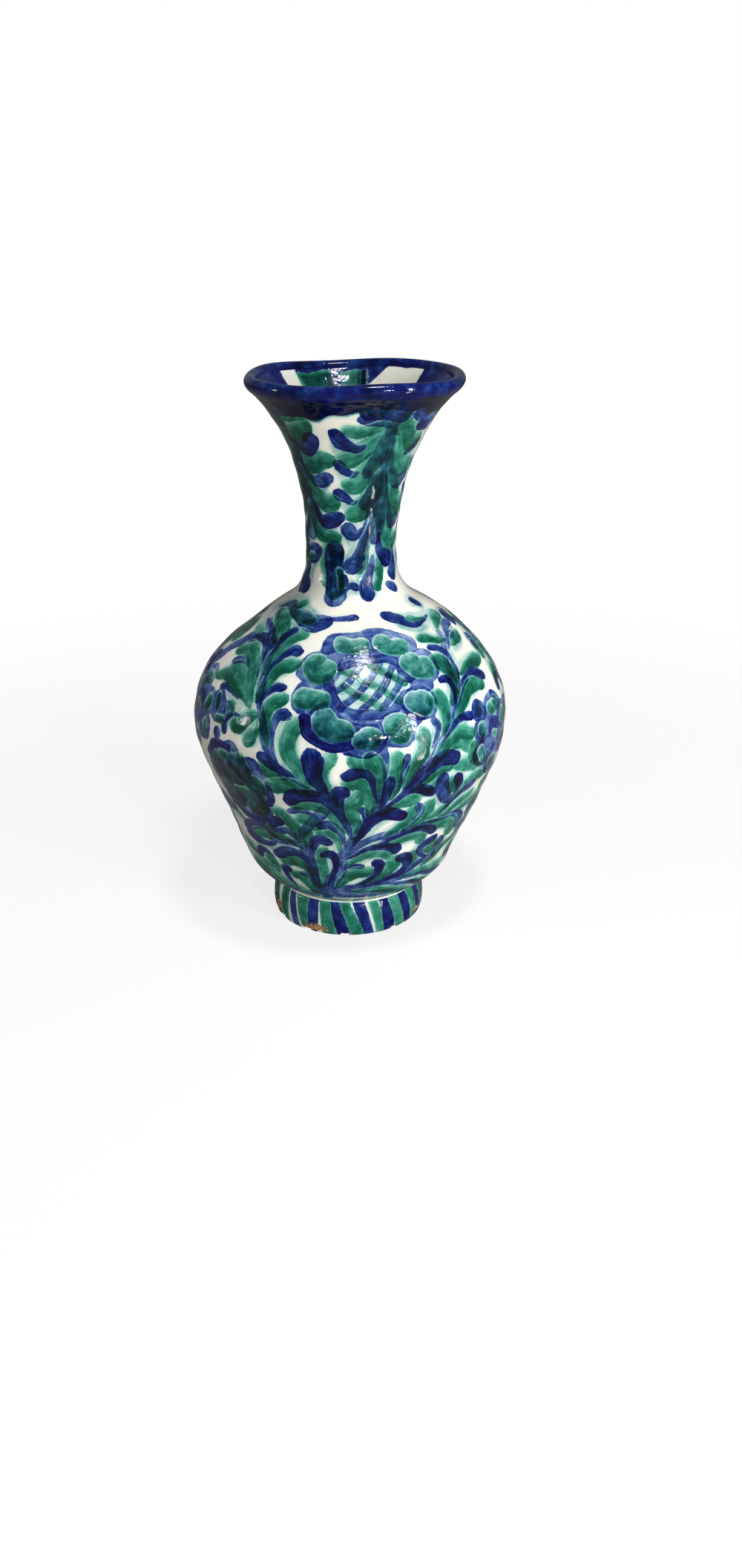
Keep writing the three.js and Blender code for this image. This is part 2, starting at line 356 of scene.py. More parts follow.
# In the brushed net of the blossom's heart, the blue arc b5.6 from -4,164.4 to 25,163.6 is partly a painted
# reflection: it stands where the glaze showed a dark reflection, and is partly a real blue arc of the pattern
BODY = """
dabs for the big blossom's lobes
s13 -14,157 -12,147 -4,139 8,134.5 18,138 26,146 31,156 29,167 18,173 4,174 -8,170
s13 -8,170 -14,163 -14,155
s20 -16,163.6 -13,163
s18 -16,152 -11,151.6
b20 -8,141.6 -4,140
B6.5 -15.5,143 -14,136.6 -8,132 -3,130.5 2,132 3,137.5
b17 5,135 7,135
b6 0,128.6 5,127.6 10,129 12,133 11.5,139
s19 17,137.6 18.5,137.6
b18 26.5,147.5 29,148
s19.5 30,162 35,162.4
s17.5 10,173.4 20,173 27,170.5
s16.5 -9,171.6 -2,172.6 6,173
b5.6 -10,160 -6,152 0,146.6 8,144.6 16,146 22,152
dabs for a green petal on each
H13 -17,165 -14.6,162 -11.8,163
H10.8 -18,151.6 -13,151.4 -10.6,150.6
H12.2 -9,143 -6,139 -2,138
H10.4 5,133.8 6.6,134.8 8.4,133.8
H14 17.2,139 18.4,136.8
H11.8 25.8,148 28.4,146.4 30,148.2
H13 29.4,164.4 32,161.4 35.4,161.6
H10.6 17,173 21,170.8 25.4,171.2
H10 -6,173 -1,172.2 4.6,172.4
dabs for the brushed net of its heart
w21 -1,160 9,161 19,160
w17 3,152 14,152
b5.6 -4,164.4 6,167 16,167 25,163.6
s4 -3,148 3,154 9,160 13,165
s4 5,147 11,153 17,160 20,164
s3.6 -6,154 0,159 4,164
s4 13,148 19,155 23,160
g4.4 20,150 13,155 5,160 -4,163
g4.4 12,148 6,152 -3,157
g4.4 23,157 15,162 9,165
leaves on the shoulder
b12 -21,180.4 -31,180 -40,181 -50,182.5 -60,184
G6 -32,181 -40,181 -49,181.8 -57,182.6
G5.4 -49,185.6 -55,184.6 -61,182.4
G9 -47,172 -52,176.5 -59,179.5 -68,181
b5.4 -61,184.8 -67,183.5 -75,181
b5.6 -47,168 -52,172 -60,174.5 -70,176
g6 -71,172 -62,170.5 -54,168
B5.4 -38.5,175.8 -41.8,173.8 -43.4,169 -43,164
G7.2 -31,175.4 -36,174.2 -40,170 -41,164 -40,158
B5.4 -28.5,168.4 -32,169 -35.5,166.6 -37.6,161 -38,154
G7 -27,163.6 -31,163 -34.4,160 -36,154 -36,147
B4.8 -27.5,154.2 -30.4,154.4 -33,152 -34.2,147 -33,141
G6.6 -26,149.2 -28.6,148.2 -30.6,143 -30.4,136 -28,128
b5.6 -21.6,143 -24.6,143 -26.8,139 -26.8,131 -24.5,121
G7.4 -18,140 -20.4,135 -20.6,128 -18,119 -13.5,109
b6 -66,167.4 -60,170 -52,169.4 -46,164 -42,156
G7.6 -65,163.6 -58,164.8 -50,161.6 -44,154.6 -39,146
b5 -61.5,158.6 -56,160 -50,159
G7.2 -59,156.4 -52,155.8 -45.6,151.4 -39,144
G6 -65,151.4 -60,153 -54,151.4 -47,149.6 -41,146
b3.4 -58,147.6 -52,147.6 -45,146
B5 -48.4,129 -48.8,134 -45.4,138 -41,139
G7.6 -42.6,133 -39,138 -35,141
g6 -37,128 -34,133 -33,139
B7.4 28,182.2 35,181 43,178 52,178.4 62,179
H4.4 44,180.2 50,179.4 57,179.2
G4.6 40,172 45,172 51,170.6 57,169
B4.4 43.4,168 48.4,167 52.4,163 52,157 48,150
b4.6 67,170 60,168.6 55,165
G5.6 72,168.6 66,167.6 60,166
b5 76,174 69,173.4 62,170 57,165.6
G5.6 74,178 67,177 60,174
B6.4 70,184 66.5,184.4
G7.6 43,162.4 46,161.4 47.6,156.4 45.6,150 42,144
B5 40.4,155 43.4,154.6 45,150.6 43.6,144 40,137
G6.6 35.8,149.6 37.4,145 37.2,139 35,132
b4.2 31.6,139.4 33,136 32.4,131 30,125
G6.2 26.6,133.6 27.4,130 25.8,125 23,118
b4.4 55.4,152 51,150.4 46.6,146 42,139
G6.2 62.6,147.6 57.6,148.6 51,146.6 45,141.4 41,136
B6 67.6,149.4 63,152.6 57,153.4 51,152
G5.6 73,156.6 67,156.6 60,157 53,155
B4.8 50,136 45,136.6 39.6,133.6 34.4,127.4
G6.6 48,127.6 42,129.4 36.6,126.6 32,120 28,113
dabs on the shoulder
s5 -22,112 -28,125 -32,140 -37,152 -43,164 -52,171 -66,175.6
s4.4 20,105 28,117 34,128 41,141 46,152 50,163 58,172
B3.6 3,183 -6,182.2 -14,181.8 -24,181.6
b8 -70,167 -77,158 -82,146 -84,132
B6.6 -52.5,126
b14 -56,140 -55,137
b11 -49,138
G5.4 -56.4,143 -55.6,139
G6.6 -48,142 -47.4,138
H5 -54,133.4 -51,133.6
B11 54,136.6 56,135
G6.4 54.6,136
b13 66,136 68,134
G7 67,136 69,133.4
leaves on the belly
B11.5 -12,124 -11.6,118 -10,110 -7,100
G6.6 -6,125 -8.6,119 -8.8,111 -6.6,103 -4,96
b6.4 -31,121 -26,118 -20,113 -14,108
G7.6 -28,105.5 -22,107 -16,107 -11,104
B8.6 -22,97.6 -18.6,101.6 -13,103 -8,100 -4.4,92 -2,82
G6.6 -19.6,95 -13.4,97 -8,94 -4.6,87 -2,79
b4.2 -22.6,91 -18,91.6 -13.6,89.6 -11,86
g8 -18,86.4 -14,84 -11,81
b6.2 -11.6,83 -8.4,84.4 -5,81.4 -2.6,75 -2,67
g5 -11.6,78.6 -8,78.6 -5.4,74.6 -4.6,67
g7.2 -18.4,79 -18.2,74 -17.8,68
B7 -9.6,71 -12.2,73.6 -15.4,70 -17,62 -15.4,51
G6.4 -11.8,65 -13.6,57 -13,48 -12.4,39
B5.6 -10.8,62 -7.6,62.4 -5.6,57 -7.4,48 -10.6,39
B7.6 -1.4,106.6 -4,104 -3.6,95 -1.6,85 1,75
G7 -27.6,89 -25.2,85 -22.8,78.6 -21.6,70
b5.2 -30.4,74.4 -27,76.4 -23.8,72.6 -21,65
G5.2 -37,76 -33.4,71.6 -28,69.6 -22,66
B6 -28.8,82.2 -32,80 -33.6,76 -31.6,73.4
b7.4 -52.6,68 -46,73 -40,73.6 -34,70 -28,66
B7.4 -52,64.6 -46,61.6 -40,62.4 -34,66
G6 -46.6,67.4 -41,69 -36,68
B7.8 -35.4,56.6 -30.6,60 -23,60 -17.6,53 -14.4,42
G5.8 -32,52.8 -27,54.8 -21,51.6 -16.6,44.6 -15,38
B5.4 -31.4,48 -34.4,46 -33.4,41 -29,35
G5.6 -29,45 -24.6,43.4 -20.6,38 -18.6,31
b4 -24,46 -20,44.4 -17,39 -15.6,33
B5.6 -51,51 -48,54.6 -43.6,55.4 -39,53
G6.2 -43,52 -40.6,48 -40,43
g4.6 -50,47 -44.4,45.6 -39,41
g7 -58,43 -50,41.6 -40,37.6 -28,33 -18,30
b6 -64,38 -54,35 -42,31.6 -28,29 -16,28
g6.4 -60,55 -54,52 -50,47
b7 -66,77 -60,78.6 -54,76 -50,72
g6 -66,84 -60,82 -55,79
g6 -30,117 -25,112 -18,108
g6.6 33,108 30,104 25,101 19,97
g7 52,108 46,112 40,112
g7 60,100 54,101 48,100
g6 62,84 55,83 47,80
G4.6 -34,26 -18,24 0,23.8 18,24.6 34,27
G7.4 8,124.4 9.4,119 10.2,112 10.2,104 10,96
g7 2,123 5.6,121.6 8,117
B6 -0.4,115 3.4,117 7,114.6 9,107 10,97
G7 0.6,111.4 4.4,112 7,106 7.6,98 7.6,90
G7.6 3,103 0,97.4 0.8,90 3,82.6 2,74
b4.2 4.2,95 6,92 6.4,85 4.4,77
B6 15,112 13.6,106 12,98 11,90
G6.2 17,123.6 16.4,117 16.8,110 14.4,101
b4.6 20.2,123.4 20,118 18.8,111 17,104
G6.6 26.4,125 24.2,119.6 22,113 19.6,106
s4.6 12.6,128 12.6,118 12.6,108
B9.2 39.6,116.6 34,118.6 27.6,113.4 20.6,104 13.6,95
G4.8 37.6,112.6 32,112 26.6,108 22,103
B6.8 30.6,100.4 27,103.4 22,103.6 16.4,99 12,92
G6.4 24.6,96.8 20,97.6 15,94.4 12,90
B9.2 19.6,88 14,90.4 8.6,86.6 4.8,79 2,70
G5.6 24,91 23.6,86 20,80.4 14.6,75.6
b4.8 26.6,92.6 28,88.6 26.6,83 21.4,76.6 14,72
G6.4 31.8,93 31.4,87.6 28.4,82 22,77
B9 35,106.4 36,99.4 39.4,92.6 44,89
B6.6 42.6,105.4 43.6,99.4 42.4,93
G7.6 40,103 40.8,97
G5.6 47,99 44.6,93 38.6,86.4 31,81
B6.2 53.6,96 49,94.6 44.6,90 38,84
g5.4 55,89.4 48,86 40.4,82 33,79.6
B5.8 38.6,71.6 35.6,74.4 29.6,76 21.6,74.6 12,69
G7.2 50.4,66.4 50.4,71 45,75 34,77.6 26,77.4
b6.2 56,67.6 54.6,74 49,78 39.6,79.4 28,78
G5.8 32.4,67.6 31,71 26.4,71.6 19.4,70 12,67.6
B6.2 21.6,63.6 18.6,66.8 12.6,67.4 5.4,65 -1,60
G5.4 18.6,59.6 15.6,62.6 9.6,63 3.6,60 -1,55
G6.8 21.4,57.6 21.6,52.6 18,47.4 11.6,43.4 5,41
B5.8 13,56 15.6,53.6 14,47.6 8,42.4 1,38.6
G6.8 9.4,50.4 3.6,49.6 -1.2,45.4 -4.8,39
b3.8 6.6,54.4 2.4,54.6 -1.4,51 -4,46
B6.8 25,57.4 28.4,56 29.6,51 26,45.6 17.6,41.6 8,39.6
G5.6 31.4,58.4 33,54.6 32,50.6
B6.4 40.6,65.4 36,63.6 35.4,58 39,53.4 44,52
B6.4 46,62 47,57 44.6,52
G6.8 41,60.4 43,56.6
b5.4 46,52.6 37.6,49.6 28,44.6 15,41 2,38
G6.6 40,25.6 33,30 25,33.6 15,35.6 4,36
b4.8 50,30 42,33.6 32,37 20,39 8,38.4
G5.6 57,57 51,55 45.6,50 40,46.6
g5.6 60,41 50,42 40,43 30,43
b4.6 62,35 52,38 42,40 32,40.6
g5.6 62,29 52,32 44,35 36,37
B5.6 53.6,127 54.6,119 57,111 57,104
G6.4 49,120 50,113 53,107
g7 46.6,121.6 43,125 38,124.6 33,120
B5 62,66 60,60 56,54
G6 66,74 62,69 57,64
dabs on the belly
s5.6 -13,24 -12,32 -9,42 -5,54 0,68 4,80 9,92 12.4,106
s5.6 -13,30 -17,45 -20,58 -21,72
s6 -10,35 -4,50 -2,66
s5.6 -9,34 2,38 18,41 34,44
s5.6 0,66 10,74 22,76 34,78
s5 -20,68 -28,67 -38,68
s6 -21,74 -10,92 -6,100
s7 -14,36 -6,33 10,32 24,31
b4 -20,33 -10,30 4,30 16,29
dabs for the dark bloom at the left of the front
b16 -53,114
b15 -45,117
b15 -36,112 -33,107
b16 -56,104 -55,97
b15 -51,88 -47,84
b15 -39,83 -36,87
b13 -34,96
b24 -48,106 -42,96
G17 -54,108 -50,90
G18 -42,110 -38,90
B4.6 -59,112 -56,118 -51,121 -46,120.4
B4.6 -31,92 -29.6,98 -29.4,104
B5 -54,84 -48,80 -42,79.6 -36,80
B7 -52,109 -50,101 -45,91
B5 -45,112 -40,104
H5 -50.6,115.6 -47,115
H5.6 -45.6,96.4 -40.6,97.6
G9 -40,116 -38.4,111
G9 -34.6,105 -33,101
G9 -39,91 -36,88
"""
FLANK_BLOOM = """
dabs for the paler bloom on each flank, round its middle
b17 0,14
b16 -9,6
b16 -9,-7
b17 0,-15
b16 9,-7
b16 9,6
B16 0,2 0,-2
H7.6 -1.4,14.6 1.4,14.6
H7.6 -9.6,7 -9,4.6
H7.6 -9.4,-6 -8.4,-8.6
H7.6 -1,-15.6 1.4,-15.6
H7.6 9,-6 9.4,-8.6
H7.6 9.6,7 9,4.6
H4.6 -1,1 1.6,-1
"""

# Stripes of the foot: layer, then the degrees of their left and right edges at the top and at the bottom
FOOT_STRIPES = (
    ("G", -62, -53, -60, -52),
    ("b", -50.5, -45, -46.5, -40.5),
    ("G", -42.5, -32, -37, -31.5),
    ("B", -31, -23.4, -30, -23),
    ("G", -21, -13, -19, -9.5),
    ("B", -12.4, -6, -8, 0.5),
    ("G", -5, 2.5, 2, 11),
    ("B", 5.4, 13.4, 12, 18.6),
    ("G", 17.4, 25.4, 22, 28),
    ("B", 26.4, 32.4, 28.6, 37),
    ("G", 33, 43, 38.6, 46.5),
    ("B", 43.6, 51, 48, 55.5),
    ("G", 52.6, 60.6, 57, 64),
)


def strokes_in(text, turn=0.0, lift=0.0):
    """The strokes of a table, as (layer, width, shape, points), moved round the vase and up."""
    strokes = []
    for line in text.strip().replace("\n ", " ").splitlines():
        first, *rest = line.split()
        if first in ("leaves", "dabs"):
            shape = LEAF_SHAPE if first == "leaves" else DAB_SHAPE
        else:
            points = np.array([pair.split(",") for pair in rest], float)
            strokes.append((first[0], float(first[1:]), shape, points + (turn, lift)))
    return strokes


def spray(turn, low, high, reach, lean):
    """A leafy stem that climbs the side of the vase, with green and blue leaves curling out by turns."""
    count = round((high - low) / 8.5)
    leaves = []
    for i in range(count):
        share = i / count
        height = low + 6 + (high - low - 6) * share
        out = reach * (0.75 + 0.5 * math.sin(math.pi * min(share * 1.1, 1)))
        side = 1 if i % 2 else -1
        root = turn + lean * share
        layer, width = ("G", 7.0) if (i // 2) % 2 else ("B", 6.4)
        for way, kind, size, up in ((side, layer, width, 0), (-side, "b" if layer == "G" else "G", 5.8, -4)):
            path = [(root + way * out * part, height + rise + up) for part, rise in CURL]
            leaves.append((kind, size, LEAF_SHAPE, np.array(path)))
    stem = [(turn, low), (turn + lean / 2, (low + high) / 2), (turn + lean, high)]
    return leaves + [("s", 5.0, DAB_SHAPE, np.array(stem))]


def follow(points):
    """A smooth path through the points, finely divided."""
    if len(points) == 1:
        points = points + [[-0.1, 0], [0.1, 0]]
    ends = np.concatenate([[2 * points[0] - points[1]], points, [2 * points[-1] - points[-2]]])
    t = np.linspace(0, 1, 15)[:-1, None]
    rows = []
    for a, b, c, d in zip(ends, ends[1:], ends[2:], ends[3:]):
        square, cube = 2 * a - 5 * b + 4 * c - d, 3 * b - a - 3 * c + d
        rows.append(0.5 * (2 * b + (c - a) * t + square * t**2 + cube * t**3))
    return np.concatenate([*rows, points[-1:]])


def plan_brushwork():
    """Every stroke of the outside, as (layer, width, shape, path)."""
    half = strokes_in(NECK_LEFT) + strokes_in(NECK_REST) + strokes_in(NECK_LEFT, -90) + strokes_in(BODY)
    half += strokes_in(FLANK_BLOOM, 64, 120) + strokes_in(FLANK_BLOOM, -72, 132)
    half += spray(86, 34, 176, 11, 4) + spray(70, 34, 100, 10, 6) + spray(101, 30, 104, 10, -3)
    strokes = []
    rng = np.random.default_rng(11)
    for turn in (0, 180):
        for layer, width, shape, points in half:
            shift = rng.uniform(-0.8, 0.8, 2) if turn else (0, 0)
            path = follow(points + (turn + shift[0], shift[1]))
            if shape is LEAF_SHAPE:
                # a leaf is painted with the brush pressed flat, and colour floats out beside its tail
                strokes.append(("w", width + 5.5, DAB_SHAPE, path[len(path) // 3 :]))
                if layer not in "gG":
                    width, shape = width * 1.02, BLUE_SHAPE
                elif path[:, 1].min() > NECK_SEAM + 20:
                    width, shape = width * 2.1, FAN_SHAPE
                else:
                    width *= 1.35
            strokes.append((layer, width, shape, path))
    return strokes


def wandering(turn, run, radius):
    """The hand's small wobble, in mm across and along, so that no dab is a true circle."""
    arc = np.radians(turn) * radius
    across = 0.5 * np.sin(run / 3.1 + 1.6 * np.sin(arc / 7.3))
    along = 0.5 * np.sin(arc / 3.4 + 1.7 * np.sin(run / 6.9))
    return across[:, None], along[:, None]


# How far from a stroke in mm its distance is still kept
FAR = 5.0
# How far each green's wet colour runs off to one side, and how much thicker it gets down its stroke
RUN_OFF = {"g": (0.9, 0.1), "G": (0.9, 0.1), "H": (0.8, 0)}


class Paint:
    """The brushwork at each point of a piece. Each layer holds the distance outside the nearest stroke's edge
    in mm, how far down that stroke the point is, how thick the colour lies there, and how far across it the
    point is."""

    def __init__(self, count):
        self.layers = {layer: np.tile([FAR, 0.5, 1.0, 0.0], (count, 1)) for layer in PAINT_LAYERS}

    def lay(self, layer, where, turn, run, radius, load, half, path_turn, path_run, path_radius):
        wobble = wandering(turn[where], run[where], radius[where])
        across = off_middle(turn[where, None], path_turn)
        across *= math.pi / 360 * (radius[where, None] + path_radius)
        across += wobble[0]
        along = run[where, None] + wobble[1] - path_run
        distance = np.hypot(across, along) - half
        nearest = distance.argmin(1)
        row = np.arange(len(nearest))
        distance = distance[row, nearest]
        across, along, half = across[row, nearest], along[row, nearest], half[nearest]
        lean = np.clip((0.45 * across - 0.9 * along) / half, -1, 1)
        heading = np.gradient(np.stack([path_turn * path_radius * math.pi / 180, path_run]), axis=1)
        heading = (heading / np.maximum(np.hypot(*heading), 1e-6))[:, nearest]
        side = np.clip((heading[0] * along - heading[1] * across) / half, -1.5, 1.5)
        down = nearest / (len(path_turn) - 1)
        # the wet colour runs to the lower right edge, and every other stroke thins out to its tail
        run_off, gain = RUN_OFF.get(layer, (0.3, -0.45))
        thick = load * (1 + run_off * lean) * (1 + gain * down)
        held = self.layers[layer]
        wins = distance < held[where, 0]
        held[where[wins]] = np.stack([distance, down, thick, side], -1)[wins]

    def band(self, layer, where, edge, load, down):
        """A band of colour over all points whose distance outside its edge is given."""
        held = self.layers[layer]
        edge = np.broadcast_to(edge, len(where))
        wins = edge < held[where, 0]
        filled = [edge, np.full(len(where), down), np.broadcast_to(load, len(where)), 0 * edge]
        held[where[wins]] = np.stack(filled, -1)[wins]

    def lay_all(self, wall, turn, run, radius, outside):
        """Lays all the strokes that reach the outside of a section."""
        rng = np.random.default_rng(5)
        candidates = np.flatnonzero(outside)
        low, high = run[candidates].min() - 12, run[candidates].max() + 12
        for layer, width, shape, path in STROKES:
            load = rng.uniform(0.7, 1.25)
            path_run = wall.at(path[:, 1])
            if path_run.max() < low or path_run.min() > high:
                continue
            half = width / 2 * np.interp(np.linspace(0, 1, len(path)), *shape)
            path_radius = wall.radius(path_run)
            reach = width / 2 + 6
            middle = (path[:, 0].min() + path[:, 0].max()) / 2
            spread = (path[:, 0].max() - path[:, 0].min()) / 2 + math.degrees(reach / path_radius.min())
            near = np.abs(off_middle(turn[candidates], middle)) < spread
            near &= (run[candidates] > path_run.min() - reach) & (run[candidates] < path_run.max() + reach)
            where = candidates[near]
            if len(where):
                self.lay(layer, where, turn, run, radius, load, half, path[:, 0], path_run, path_radius)

    def fire(self, piece, points, slot, node_name, bare=None):
        """Stores the brushwork on its piece, gives the piece its small unevenness and seats it."""
        mesh = piece.data
        for layer, held in self.layers.items():
            held[:, 0] = np.clip(held[:, 0], -12, FAR)
            made = mesh.attributes.new("stroke_" + layer, "FLOAT_COLOR", "POINT")
            made.data.foreach_set("color", held.astype(np.float32).ravel())
        shown = mesh.attributes.new("bare", "FLOAT", "POINT")
        if bare is not None:
            shown.data.foreach_set("value", bare.astype(np.float32))
        move_corners(piece, handmade(points))
        seat(piece, "Painted Tin Glaze", tin_glaze, slot, node_name)


# The layers of brushwork in the order that they go on: pale wash, blue stems, green, blue, green, blue, green
# petals. For each: how much copper and cobalt it lays, how much of the paint under it the brush takes off,
# how soft its edge is in mm, how strongly it bleeds into the glaze beside it, what share of its thickness its
# edge has, and how much of what it takes off at its edge it also takes off in its middle
PAINT_LAYERS = {
    "w": (0.24, 0.08, 0, 1.7, 0, 0.6, 1),
    "s": (0, 0.96, 0.2, 0.2, 0.04, 1.2, 1),
    "g": (1.12, 0, 0.55, 0.3, 0.07, 0.6, 0.6),
    "b": (0, 1.28, 0.5, 0.14, 0.02, 1.1, 0.5),
    "G": (1.54, 0, 0.75, 0.26, 0.07, 0.66, 0.5),
    "B": (0, 1.96, 0.62, 0.14, 0.02, 0.85, 0.5),
    "H": (1.38, 0, 0.95, 0.4, 0.04, 0.55, 0.9),
}
LAYER_INPUTS = ("Copper", "Cobalt", "Taken Off", "Softness", "Bleed", "Edge", "Middle", "Side")
SOFT = {"interpolation_type": "SMOOTHSTEP"}
COLOURED = {"data_type": "RGBA"}
BISCUIT = 0.88  # the roughness of bare clay


def colour(name):
    """One of the colours of the panel, for a shader."""
    return (*getattr(bpy.context.scene.vase_colours, name), 1.0)


def cleared(owner):
    """The empty node tree of a material or world."""
    owner.use_nodes = True
    owner.node_tree.nodes.clear()
    return owner.node_tree


def node(tree, kind, inputs=None, **settings):
    """Adds a node with its settings, values and links. A node among the values links its first output."""
    made = tree.nodes.new(kind if kind.startswith("Node") else "ShaderNode" + kind)
    for name, value in settings.items():
        setattr(made, name, value)
    for socket, value in (inputs or {}).items():
        if isinstance(value, bpy.types.Node):
            value = value.outputs[0]
        if isinstance(value, bpy.types.NodeSocket):
            tree.links.new(value, made.inputs[socket])
        else:
            made.inputs[socket].default_value = value
    return made


def chain(tree, operation, *parts):
    """Carries several numbers through one sum after another."""
    total = parts[0]
    for part in parts[1:]:
        total = node(tree, "Math", {0: total, 1: part}, operation=operation)
    return total


def brush_group():
    """One layer of brushwork over the paint under it: soft at the edge, streaked by the hairs along the
    stroke, thickest in its middle and where the wet colour ran."""
    tree = bpy.data.node_groups.new("Brush Layer", "ShaderNodeTree")
    sockets = [("INPUT", "Float", name) for name in ("Copper Under", "Cobalt Under", *LAYER_INPUTS)]
    sockets += [("INPUT", "Color", "Stroke"), ("INPUT", "Vector", "Place")]
    sockets += [("OUTPUT", "Float", "Copper"), ("OUTPUT", "Float", "Cobalt")]
    for way, kind, name in sockets:
        tree.interface.new_socket(name, in_out=way, socket_type="NodeSocket" + kind)
    given = node(tree, "NodeGroupInput").outputs
    outside, along, load = node(tree, "SeparateColor", {0: given["Stroke"]}).outputs
    # the edge wavers by a fifth of a millimetre where the raw glaze drank the colour
    ragged = node(tree, "TexNoise", {"Vector": given["Place"], "Scale": 520, "Detail": 2})
    waver = node(tree, "MapRange", {0: ragged, 1: 0.3, 2: 0.7, 3: -0.2, 4: 0.2})
    depth = chain(tree, "SUBTRACT", waver, outside)
    outer = chain(tree, "MULTIPLY", given["Softness"], -1)
    body = node(tree, "MapRange", {0: depth, 1: outer, 2: given["Softness"]}, **SOFT)
    halo = node(tree, "MapRange", {0: depth, 1: -2.2, 2: 0.2}, **SOFT)
    core = node(tree, "MapRange", {0: depth, 1: 0, 2: 2.3, 3: given["Edge"]}, **SOFT)
    across = chain(tree, "MULTIPLY", given["Side"], 2.4)
    down = chain(tree, "MULTIPLY", along, 2.2)
    hairs = node(tree, "CombineXYZ", {0: across, 1: down, 2: chain(tree, "MULTIPLY", load, 3)})
    hairs = node(tree, "TexNoise", {"Vector": hairs, "Scale": 1.3, "Detail": 3})
    streak = node(tree, "MapRange", {0: hairs, 1: 0.3, 2: 0.7, 3: 0.6, 4: 1.38})
    # pools and thin places about 3 mm across
    pools = node(tree, "TexNoise", {"Vector": given["Place"], "Scale": 190, "Detail": 2})
    pool = node(tree, "MapRange", {0: pools, 1: 0.3, 2: 0.7, 3: 0.62, 4: 1.4})
    laid = chain(tree, "MULTIPLY", body, core, streak, pool, load)
    laid = chain(tree, "ADD", laid, chain(tree, "MULTIPLY", halo, given["Bleed"]))
    # two wet glazes part at a pale line, and under the stroke some of the first paint stays
    parted = node(tree, "MapRange", {0: depth, 1: -0.45, 2: 0}, **SOFT)
    under = node(tree, "MapRange", {0: depth, 1: 0.3, 2: 1, 3: 1, 4: given["Middle"]}, **SOFT)
    thin = node(tree, "MapRange", {0: load, 1: 0.7, 2: 1.6, 3: 1, 4: 0.75}, **SOFT)
    left = chain(tree, "SUBTRACT", 1, chain(tree, "MULTIPLY", parted, under, given["Taken Off"], thin))
    sums = {}
    for metal in ("Copper", "Cobalt"):
        kept = chain(tree, "MULTIPLY", given[metal + " Under"], left)
        sums[metal] = node(tree, "Math", {0: laid, 1: given[metal], 2: kept}, operation="MULTIPLY_ADD")
    node(tree, "NodeGroupOutput", sums)
    return tree


def coat(tree, thickness, metal):
    """What paint lets through, from none at all to three full coats: each coat takes its share again."""
    ramp = node(tree, "ValToRGB", {0: chain(tree, "MULTIPLY", thickness, 1 / 3)})
    stops = (0.0, 0.04, 0.1, 0.18, 0.28, 0.4, 0.58, 0.78, 1.0)
    elements = ramp.color_ramp.elements
    while len(elements) < len(stops):
        elements.new(0.5)
    for element, stop in zip(elements, stops):
        element.position = stop
        # pooled paint stops darkening after about three coats
        depth = 2.8 * (1 - math.exp(-3 * stop / 2.8))
        parts = zip(colour(metal + "_coat")[:3], colour(metal + "_pool")[:3])
        element.color = (*[max(coat_part**depth, pool_part) for coat_part, pool_part in parts], 1.0)
    return ramp


def sand(tree, place):
    """The fired clay's sand, about 0.4 mm, and its colour."""
    crumb = node(tree, "TexNoise", {"Vector": place, "Scale": 900, "Detail": 4})
    tone = node(tree, "Mix", {0: crumb, 6: colour("buff_clay"), 7: colour("buff_dark")}, **COLOURED)
    return crumb, tone.outputs[2]


def tin_glaze(tree):
    """Tin-glazed earthenware, dipped white and painted with cobalt and copper before its one firing: a glassy
    skin with a slow ripple, colour that melted soft at its edges, and buff clay where it chipped."""
    place = node(tree, "TexCoord").outputs["Object"]
    copper = cobalt = 0.0
    group = brush_group()
    for layer, settings in PAINT_LAYERS.items():
        held = node(tree, "Attribute", attribute_name="stroke_" + layer)
        values = (copper, cobalt, *settings, held.outputs["Alpha"], held.outputs[0], place)
        copper, cobalt = node(tree, "Group", dict(enumerate(values)), node_tree=group).outputs
    # the white varies over about 2 cm as the dip ran thick and thin
    cloud = node(tree, "TexNoise", {"Vector": place, "Scale": 48, "Detail": 3})
    cloud = node(tree, "MapRange", {0: cloud, 1: 0.35, 2: 0.75, 4: 0.6}, **SOFT)
    white = {0: cloud, 6: colour("tin_white"), 7: colour("tin_shade")}
    look = node(tree, "Mix", white, **COLOURED).outputs[2]
    for thickness, metal in ((copper, "copper"), (cobalt, "cobalt")):
        through = {0: 1, 6: look, 7: coat(tree, thickness, metal)}
        look = node(tree, "Mix", through, blend_type="MULTIPLY", **COLOURED).outputs[2]
    # chips and the unglazed resting face show the fired clay
    crumb, clay = sand(tree, place)
    bare = node(tree, "Attribute", attribute_name="bare").outputs["Fac"]
    bare = node(tree, "MapRange", {0: chain(tree, "ADD", bare, crumb), 1: 0.92, 2: 1.04})
    look = node(tree, "Mix", {0: bare, 6: look, 7: clay}, **COLOURED).outputs[2]
    # gloss is broken a little by dust and fine scratches
    film = node(tree, "TexNoise", {"Vector": place, "Scale": 160, "Detail": 4})
    gloss = node(tree, "MapRange", {0: film, 1: 0.35, 2: 0.75, 3: 0.05, 4: 0.13}, **SOFT)
    rough = node(tree, "Mix", {0: bare, 2: gloss, 3: BISCUIT})
    # slow ripple 9 mm apart, orange peel of 2 mm, the paint standing a little proud, and the sand
    ripple = node(tree, "TexNoise", {"Vector": place, "Scale": 75, "Detail": 2})
    peel = node(tree, "TexNoise", {"Vector": place, "Scale": 420, "Detail": 2})
    paint = chain(tree, "MINIMUM", chain(tree, "ADD", copper, cobalt), 2)
    heights = ((ripple, 0.2), (peel, 0.035), (paint, 0.08), (crumb, bare, 0.3))
    heights = [chain(tree, "MULTIPLY", *part) for part in heights]
    bump = node(tree, "Bump", {"Height": chain(tree, "ADD", *heights), "Strength": 1, "Distance": MM})
    skin = {"Base Color": look, "Roughness": rough, "Normal": bump, "IOR": 1.5, "Specular IOR Level": 0.22}
    return node(tree, "BsdfPrincipled", skin)


